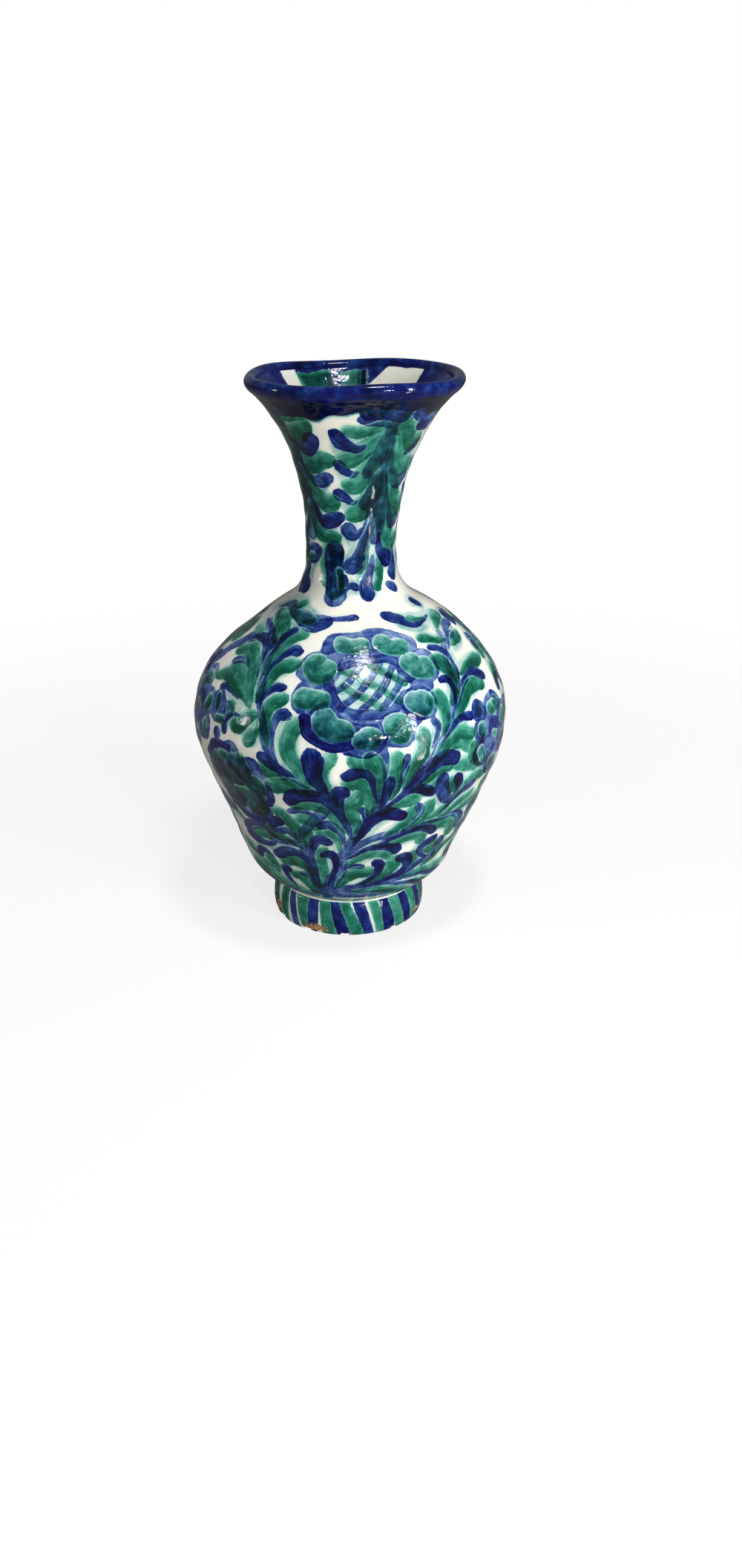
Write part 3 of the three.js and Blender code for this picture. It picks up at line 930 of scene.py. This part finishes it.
def fired_clay(tree):
    """Bare earthenware, fired once: matt, buff and sandy, where the sections are luted under the glaze."""
    crumb, tone = sand(tree, node(tree, "TexCoord").outputs["Object"])
    bump = node(tree, "Bump", {"Height": crumb, "Strength": 1, "Distance": 0.3 * MM})
    return node(tree, "BsdfPrincipled", {"Base Color": tone, "Normal": bump, "Roughness": BISCUIT})


def seat(piece, name, make, slot, node_name):
    """Gives a piece its material, which is made for the first piece that asks, and its place in the frame."""
    material = bpy.data.materials.get(name)
    if not material:
        material = bpy.data.materials.new(name)
        tree = cleared(material)
        node(tree, "OutputMaterial", {0: make(tree)})
    piece.data.materials.clear()
    piece.data.materials.append(material)
    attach(piece, "root")
    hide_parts(node_name)


STROKES = plan_brushwork()
MARK_DEPTH = 0.7  # the finger marks inside, and how far they climb for each radian round
MARK_RISE = 3.3


def finger_marks(points, outside):
    """The spiral that the potter's fingers left inside."""
    x, y, z = points.T
    radius = np.hypot(x, y)
    turn = np.arctan2(x, -y)
    push = np.where(outside | (radius < 8), 0, MARK_DEPTH / 2 * (1 - np.cos(z / MARK_RISE - turn)))
    return points * np.stack([1 + push / np.maximum(radius, 1)] * 2 + [np.ones(len(z))], -1)


def dress_body(piece, wall, slot, node_name):
    """Leaves the potter's finger marks inside a section of the body, and paints its outside."""
    points, _, radius = corners_of(piece)
    run = wall.at(points[:, 2])
    outside = (np.abs(radius - wall.radius(run)) < 0.06) & (points[:, 2] > WAIST_HEIGHT - 0.9)
    move_corners(piece, finger_marks(points, outside))
    points, turn, radius = corners_of(piece)
    paint = Paint(len(points))
    paint.lay_all(wall, turn, run, radius, outside)
    paint.fire(piece, points, slot, node_name)


# Chips knocked off the edge that the vase stands on: degrees round, height, half width and half height in mm
CHIPS = ((-24, 3, 7.5, 3), (-33, 0.8, 3.5, 2.2), (-70, 5.5, 7.5, 5), (-62, 1, 4, 3), (-2, 0.4, 3.4, 1.3))
CHIPS += ((66, 4, 4, 3), (38, 0.6, 2.8, 1.2), (118, 2.5, 7, 3.4), (163, 0.6, 5, 2), (-140, 1.5, 5.5, 3))


# The degrees between which the foot's stripes are guessed
STRIPES_FROM = 61.5
STRIPES_TO = 292


def foot_stripes(paint, where, turn, z):
    """The stripes of the foot: those that the photograph shows, then more of the same hand all round."""
    share = np.clip((18 - z) / 14, -0.3, 1.3)
    rng = np.random.default_rng(3)
    laid = list(FOOT_STRIPES)
    at, kind = STRIPES_FROM, "B"
    while at < STRIPES_TO:
        wide = rng.uniform(6.6, 9.4)
        slant = rng.uniform(2, 6)
        laid.append((kind, at, at + wide, at + slant, at + wide + slant * rng.uniform(0.7, 1.1)))
        at += wide + rng.uniform(0.9, 2.4)
        kind = "G" if kind == "B" else "B"
    for layer, top_left, top_right, low_left, low_right in laid:
        left = top_left + (low_left - top_left) * share
        right = top_right + (low_right - top_right) * share
        bulge = 0.5 * np.sin(z / 2.6 + top_left)
        off = np.abs(off_middle(turn, (left + right) / 2)) - (right - left) / 2
        edge = off * math.pi / 180 * FOOT_ARC + bulge * 0.3 - 0.5
        edge = np.maximum(edge, (z - 20.5 - 0.4 * np.sin(top_left)) * 0.8)
        paint.band(layer, where, edge, rng.uniform(0.8, 1.25), 0.7)


class VASE_OT_foot_ring(bpy.types.Operator):
    """Turn the foot ring with its painted stripes, chips and bare resting face"""

    bl_idname = "vase.foot_ring"
    bl_label = "Foot Ring"

    def execute(self, context):
        widest = context.scene.vase_sizes.foot_radius / MM
        haunch, waist = (widest, FOOT_HEIGHT * 0.22), (widest + 0.5, FOOT_HEIGHT * 0.62)
        inner, bottom = 30.8, 33.3
        section = np.concatenate(
            [
                [(inner, 19.0), (inner + 0.5, 15), (inner + 1.2, 10), (inner + 1.9, 5)],
                [(bottom, 0.9), (bottom + 0.3, 0.25), (bottom + 0.9, 0), (35.5, 0), (37, 0), (38.5, 0)],
                [(39.8, 0), (40.6, 0), (41.2, 0), (41.6, 0.12), (41.9, 0.42)],
                cubic((42.1, 0.9), haunch, waist, (41.3, FOOT_HEIGHT), 42),
                [(40.75, WAIST_HEIGHT - 0.7), (40.2, 20.1), (40.2, 19.4), (36, 19.4), (inner, 19.4)],
                [(inner, 19.0)],
            ]
        )
        piece = turned("glazed_foot_ring", section, 520)
        points, turn, radius = corners_of(piece)
        z = points[:, 2]
        loss = np.zeros(len(points))
        for degrees, height, half_width, half_height in CHIPS:
            across = off_middle(turn, degrees) * math.pi / 180 * FOOT_ARC
            jag = 0.22 * np.sin(across * 1.9 + degrees) + 0.14 * np.sin(across * 4.3)
            jag += 0.16 * np.sin(z * 2.7 + across)
            fall = 1 + jag - np.hypot(across / half_width, (z - height) / half_height)
            loss = np.maximum(loss, np.clip(fall * 3.0, 0, 1) * (radius > 39.4))
        paint = Paint(len(points))
        where = np.flatnonzero(radius > 40.4)
        foot_stripes(paint, where, turn[where], z[where])
        shrink = 1 - loss * np.where(z > 0.2, 1.1, 0.6) / np.maximum(radius, 1)
        lift = loss * np.where((radius > 39.6) & (z < 2), 0.7, 0)
        points = np.stack([points[:, 0] * shrink, points[:, 1] * shrink, z + lift], -1)
        paint.fire(piece, points, "foot_glaze", "foot_ring", np.maximum(loss, (z < 0.35) & (radius < 41.5)))
        return {"FINISHED"}


class VASE_OT_base_bowl(bpy.types.Operator):
    """Turn the lower body and its floor, and paint the foot of the leafy stems on it"""

    bl_idname = "vase.base_bowl"
    bl_label = "Base Bowl"

    def execute(self, context):
        sizes = context.scene.vase_sizes
        wall = Wall(sizes)
        seam, haunch = wall.at(BELLY_SEAM), wall.at(HAUNCH_HEIGHT)
        under = [(r, WAIST_HEIGHT) for r in (0, 4, 10, 16, 22, 28, 34, 40.1)]
        under += [(40.1, WAIST_HEIGHT - 0.7), (40.72, WAIST_HEIGHT - 0.72)]
        bend = [(wall.place(haunch, 8)[0] - 0.8, 33.6), (47.0, 31.6), (43.5, 30.4), (38, 29.6)]
        bend += [(r, 29.3) for r in (30, 22, 14, 7, 0)]
        side, inside = wall.stretch(0, seam, sizes.brush_step / MM), wall.stretch(seam - 4, haunch, 5, 1.0)
        section = np.concatenate([under, side, joint(wall, seam, 1), inside, bend])
        dress_body(turned("glazed_base_bowl", section, sizes.turns), wall, "base_glaze", "base_bowl")
        return {"FINISHED"}


class VASE_OT_shoulder(bpy.types.Operator):
    """Turn the upper body, and paint the blossom and the curling leaves on it"""

    bl_idname = "vase.shoulder"
    bl_label = "Shoulder"

    def execute(self, context):
        sizes = context.scene.vase_sizes
        wall = Wall(sizes)
        low, high = wall.at(BELLY_SEAM), wall.at(NECK_SEAM)
        side, inside = wall.stretch(low, high, sizes.brush_step / MM), wall.stretch(high - 4, low + 4, 5, 1.0)
        section = np.concatenate([side, joint(wall, high, 1), inside, joint(wall, low, -1)[::-1], side[:1]])
        dress_body(turned("glazed_shoulder", section, sizes.turns), wall, "shoulder_glaze", "shoulder_dome")
        return {"FINISHED"}


def mouth_paint(paint, points, turn, radius, wall):
    """The blue band of the lip, wavy below, and the washes inside the mouth."""
    outside = radius > wall.radius(wall.at(points[:, 2])) - 2.4
    near = np.flatnonzero(outside & (points[:, 2] > 268))
    z, angle = points[near, 2], np.radians(turn[near])
    wave = 1.1 * np.sin(3 * angle + 0.7) + 1.1 * np.sin(8 * angle + 2.0) + 0.8 * np.sin(19 * angle)
    edge = (284.2 + wave - z) * 1.25
    paint.band("B", near, edge, np.interp(z, [288, 293, 296.5], [1.5, 1.4, 1.1]), 0.3)
    paint.band("g", near, np.maximum(edge - 1.0, (z - 292.5) * 1.2), 0.9 + 0.5 * np.sin(9 * angle), 0.3)
    inner = np.flatnonzero(~outside & (points[:, 2] > 262))
    angle = np.radians(turn[inner])
    height = points[inner, 2] + 0.5 * np.sin(5 * angle) + 0.6 * np.sin(17 * angle + 2)

    def beside(left, right):
        """How far round the mouth a point is from a part of it, in mm."""
        off = np.abs(off_middle(turn[inner], (left + right) / 2)) - (right - left) / 2
        return off * math.pi / 180 * MOUTH_ARC

    low = (277.5 + 2.5 * np.sin(3 * angle + 1) - height) * 1.2
    left_white = np.maximum(beside(-140.5, -128.5), (height - 297.6) * 1.2)
    slant = (turn[inner] - 173 + 1.5 * (height - 287)) * 0.8
    right_white = np.maximum.reduce([beside(134, 174), slant, (height - 296.4) * 1.2])
    white = np.minimum(left_white, right_white)
    green = np.maximum(beside(171, 219.5), (height - 294.6) * 1.2)
    drips = np.minimum(beside(172, 176), beside(-170, -164))
    paint.band("B", inner, np.maximum.reduce([low, -white, -green]), 1.1, 0.3)
    paint.band("G", inner, np.maximum(low, green), 0.95 + 0.5 * np.sin(9 * angle), 0.4)
    paint.band("b", inner, np.maximum(low, green + 2), 0.4 + 0.3 * np.sin(13 * angle + 1), 0.4)
    paint.band("B", inner, np.maximum(low, drips), 0.7, 0.4)


class VASE_OT_neck(bpy.types.Operator):
    """Turn the trumpet neck, and paint its hanging garlands and the inside of the mouth"""

    bl_idname = "vase.neck"
    bl_label = "Trumpet Neck"

    def execute(self, context):
        sizes = context.scene.vase_sizes
        wall = Wall(sizes)
        low, high, flare = wall.at(NECK_SEAM), wall.length, wall.at(268)
        inside = wall.stretch(high - 1.5, flare, 1.1, 1.0)
        below = wall.stretch(flare - 4, low + 4, 4.6, 1.0)
        run = np.linspace(low, high, round((high - low) * MM / sizes.brush_step) + 1)
        side = wall.place(run, -lip_swell(wall, run))
        # under the lip the glaze runs over the joint on both sides
        edge, back = high - SLIP_GAP / 2, MOUTH_WALL - POCKET
        top = [wall.place(high + TUCK, 0.05 - lip_swell(wall, high)), wall.place(high, POCKET)]
        top += [wall.place(edge, POCKET), wall.place(edge - MOUTH_WALL * VEE, MOUTH_WALL / 2)]
        top += [wall.place(edge, back), wall.place(high, back), wall.place(high + TUCK, MOUTH_WALL - SKIN)]
        section = np.concatenate([side, top, inside, below, joint(wall, low, -1)[::-1], side[:1]])
        piece = turned("glazed_trumpet_neck", section, 440)
        points, turn, radius = corners_of(piece)
        run = np.where(points[:, 2] > wall.points[-1, 1], wall.length, wall.at(points[:, 2]))
        paint = Paint(len(points))
        paint.lay_all(wall, turn, run, radius, radius > wall.radius(run) - 0.4)
        mouth_paint(paint, points, turn, radius, wall)
        paint.fire(piece, points, "neck_glaze", "trumpet_neck")
        return {"FINISHED"}


class VASE_OT_lip(bpy.types.Operator):
    """Roll the lip, blue all over, and blend it into the neck on both sides"""

    bl_idname = "vase.lip"
    bl_label = "Rolled Lip"

    def execute(self, context):
        wall = Wall(context.scene.vase_sizes)
        centre, end = wall.lip_centre, wall.length
        outer, inner = wall.place(end, -lip_swell(wall, end)), wall.place(end, MOUTH_WALL)
        start = math.atan2(*(outer - centre)[::-1])
        finish = math.atan2(*(inner - centre)[::-1])
        if finish < start:
            finish += 2 * math.pi
        # the potter smoothed the roll into the wall on both sides
        first, last = start + 1.25, finish - 0.8
        angles = np.linspace(first, last, 34)
        roll = centre + LIP_ROLL * np.stack([np.cos(angles), np.sin(angles)], -1)
        upward = outer - wall.place(end - 0.5, -lip_swell(wall, end - 0.5))
        inward = wall.place(end - 0.5, MOUTH_WALL) - inner
        leaving = (-math.sin(last), math.cos(last))
        below = sweep(outer, upward, roll[0], (-math.sin(first), math.cos(first)), 0.35, 0.3)[:-1:36]
        behind = sweep(roll[-1], leaving, inner, inward, 0.3, 0.35)[36::36]
        under = ((0, MOUTH_WALL), (0.6, MOUTH_WALL - 1), (1, MOUTH_WALL / 2), (0.6, 1), (0.3, SKIN))
        seated = [wall.place(end - drop, depth) for drop, depth in under]
        section = np.concatenate([[outer], below[1:], roll, behind[:-1], seated, [outer]])
        piece = turned("glazed_lip", section, 600)
        points, turn, radius = corners_of(piece)
        paint = Paint(len(points))
        mouth_paint(paint, points, turn, radius, wall)
        every = np.arange(len(points))
        around = np.radians(turn)
        load = np.interp(points[:, 2], [293, 296, 300], [1.35, 1.2, 1.1]) + 0.15 * np.sin(7 * around + 1)
        touches = np.clip(np.sin(5 * around + 2 * np.sin(2 * around)) - 0.35, 0, 1)
        paint.band("B", every, ALL_OVER, load, 0.5)
        paint.band("g", every, ALL_OVER, 0.6 * touches, 0.5)
        paint.fire(piece, points, "lip_glaze", "lip_coil")
        return {"FINISHED"}


class VASE_OT_luting(bpy.types.Operator):
    """Lay the rings of slip in the joints and thumb the coil over the belly joint"""

    bl_idname = "vase.luting"
    bl_label = "Slip Rings and Seam Coil"

    def execute(self, context):
        wall = Wall(context.scene.vase_sizes)
        seam = wall.at(BELLY_SEAM)
        rings = (("belly", seam, 0.2), ("neck", wall.at(NECK_SEAM), 0.2), ("lip", wall.length - 1.4, 1.0))
        for name, run, short in rings:
            thick = float(wall.thickness(run))
            vee = thick * VEE
            low, high = run - SLIP_HALF, run + SLIP_HALF
            corners = ((low, 1), (high, 1), (high - vee, thick / 2), (high, thick - short))
            corners += ((low, thick - short), (low - vee, thick / 2), (low, 1))
            piece = turned("fired_%s_slip_ring" % name, [wall.place(*corner) for corner in corners], 120)
            move_corners(piece, handmade(corners_of(piece)[0]))
            seat(piece, "Fired Buff Clay", fired_clay, "clay", name + "_slip_ring")
        middle = FOOT_HEIGHT + SLIP_GAP / 2
        section = [(31.2, middle - 0.35), (39.6, middle - 0.35), (39.6, middle + 0.35), (31.2, middle + 0.35)]
        piece = turned("fired_foot_slip_ring", section + section[:1], 120)
        seat(piece, "Fired Buff Clay", fired_clay, "clay", "foot_slip_ring")
        base = float(wall.thickness(seam)) + 0.3
        back = [wall.place(seam + side * 7, base) for side in (-1, -0.5, 0, 0.5, 1)]
        across = (0.85, 0.5, 0, -0.5, -0.85)
        crown = [wall.place(seam + side * 7, base + 3.4 * math.sqrt(1 - side * side)) for side in across]
        piece = turned("fired_belly_seam_coil", back + crown + back[:1], 180)
        points, turn, radius = corners_of(piece)
        thumbs = 0.5 * (1 + np.cos(26 * np.radians(turn))) * (radius < radius.max() - 2.2)
        points[:, :2] *= (1 + 0.7 * thumbs / radius)[:, None]
        move_corners(piece, handmade(points))
        seat(piece, "Fired Buff Clay", fired_clay, "clay", "belly_seam_coil")
        return {"FINISHED"}


# Each lamp's place, what it looks at, its width and height in metres, and its power in watts
LAMPS = {
    "overhead": ((0.16, -0.34, 1.3), (0, 0, 0.15), 0.2, 0.15, 8.6),
    "right_strip": ((0.8, -0.75, 0.4), (0, 0, 0.18), 0.05, 0.45, 6.2),
    "low_right_strip": ((0.27, -0.25, 0.08), (0, 0, 0.2), 0.024, 0.13, 0.3),
    "front_lamp": ((0.44, -0.96, 0.3), (0, 0, 0.14), 0.07, 0.09, 5.8),
    "left_strip": ((-1.1, -0.2, 0.3), (0, 0, 0.14), 0.12, 0.26, 2.6),
}


class VASE_OT_stage(bpy.types.Operator):
    """Set the pale floor, the soft studio lights and the camera at the photograph's angle"""

    bl_idname = "vase.stage"
    bl_label = "Stage"

    def execute(self, context):
        bpy.ops.object.select_all(action="DESELECT")
        bpy.ops.mesh.primitive_plane_add(size=40.0, location=(0, 0, 0))
        floor = context.object
        floor.name = floor.data.name = "pale_floor"
        material = bpy.data.materials.new("Matt White Paper")
        tree = cleared(material)
        seen = node(tree, "LightPath").outputs["Is Camera Ray"]
        tone = {0: seen, 6: colour("paper_shade"), 7: colour("paper")}
        tone = node(tree, "Mix", tone, **COLOURED).outputs[2]
        # plain white from half a metre out, so that no horizon shows
        place = node(tree, "TexCoord").outputs["Object"]
        away = node(tree, "VectorMath", {0: place}, operation="LENGTH").outputs["Value"]
        share = node(tree, "MapRange", {0: away, 1: 0.15, 2: 0.7, 3: 0.78}, **SOFT)
        mixed = {0: chain(tree, "MULTIPLY", seen, share), 1: node(tree, "BsdfDiffuse", {0: tone})}
        mixed[2] = node(tree, "Emission", {0: (1, 1, 1, 1), 1: 1})
        node(tree, "OutputMaterial", {0: node(tree, "MixShader", mixed)})
        floor.data.materials.append(material)

        world = bpy.data.worlds.new("Studio")
        context.scene.world = world
        tree = cleared(world)
        seen = node(tree, "LightPath").outputs["Is Camera Ray"]
        strength = node(tree, "MapRange", {0: seen, 3: 0.18, 4: 1})
        node(tree, "OutputWorld", {0: node(tree, "Background", {0: (1, 1, 1, 1), 1: strength})})

        for name, (place, target, width, tall, power) in LAMPS.items():
            data = bpy.data.lights.new(name, "AREA")
            data.shape = "RECTANGLE"
            data.size, data.size_y = width, tall
            data.energy = power
            lamp = bpy.data.objects.new(name, data)
            context.collection.objects.link(lamp)
            lamp.location = place
            aim = np.subtract(target, place)
            lamp.rotation_euler = (math.atan2(math.hypot(*aim[:2]), -aim[2]), 0, math.atan2(-aim[0], aim[1]))

        data = bpy.data.cameras.new("photograph")
        data.sensor_width = 36.0
        data.lens = FOCAL_PIXELS / FRAME_PIXELS * data.sensor_width
        data.clip_start = 0.01
        camera = bpy.data.objects.new("photograph", data)
        context.collection.objects.link(camera)
        camera.location = (0.0132, -0.712, 0.3809)
        camera.rotation_euler = (math.radians(90 - 23.3), 0, 0)
        context.scene.camera = camera
        context.scene.view_settings.view_transform = "Standard"
        return {"FINISHED"}


class VASE_PT_workshop(bpy.types.Panel):
    bl_idname = "VASE_PT_workshop"
    bl_label = "Painted Vase"
    bl_space_type = "VIEW_3D"
    bl_region_type = "UI"
    bl_category = "Vase"

    def draw(self, context):
        for group in (context.scene.vase_sizes, context.scene.vase_colours):
            for name in group.bl_rna.properties.keys()[1:]:
                if name != "name":
                    self.layout.prop(group, name)
        for operator in OPERATORS:
            self.layout.operator(operator.bl_idname)


OPERATORS = (
    VASE_OT_foot_ring,
    VASE_OT_base_bowl,
    VASE_OT_shoulder,
    VASE_OT_neck,
    VASE_OT_lip,
    VASE_OT_luting,
    VASE_OT_stage,
)
CLASSES = (VaseSizes, VaseColours, *OPERATORS, VASE_PT_workshop)


def register():
    for kind in CLASSES:
        bpy.utils.register_class(kind)
    bpy.types.Scene.vase_sizes = PointerProperty(type=VaseSizes)
    bpy.types.Scene.vase_colours = PointerProperty(type=VaseColours)


def unregister():
    del bpy.types.Scene.vase_sizes
    del bpy.types.Scene.vase_colours
    for kind in reversed(CLASSES):
        bpy.utils.unregister_class(kind)


def main():
    register()
    bpy.ops.vase.foot_ring()
    bpy.ops.vase.base_bowl()
    bpy.ops.vase.shoulder()
    bpy.ops.vase.neck()
    bpy.ops.vase.lip()
    bpy.ops.vase.luting()
    bpy.ops.vase.stage()


if __name__ == "__main__":
    main()
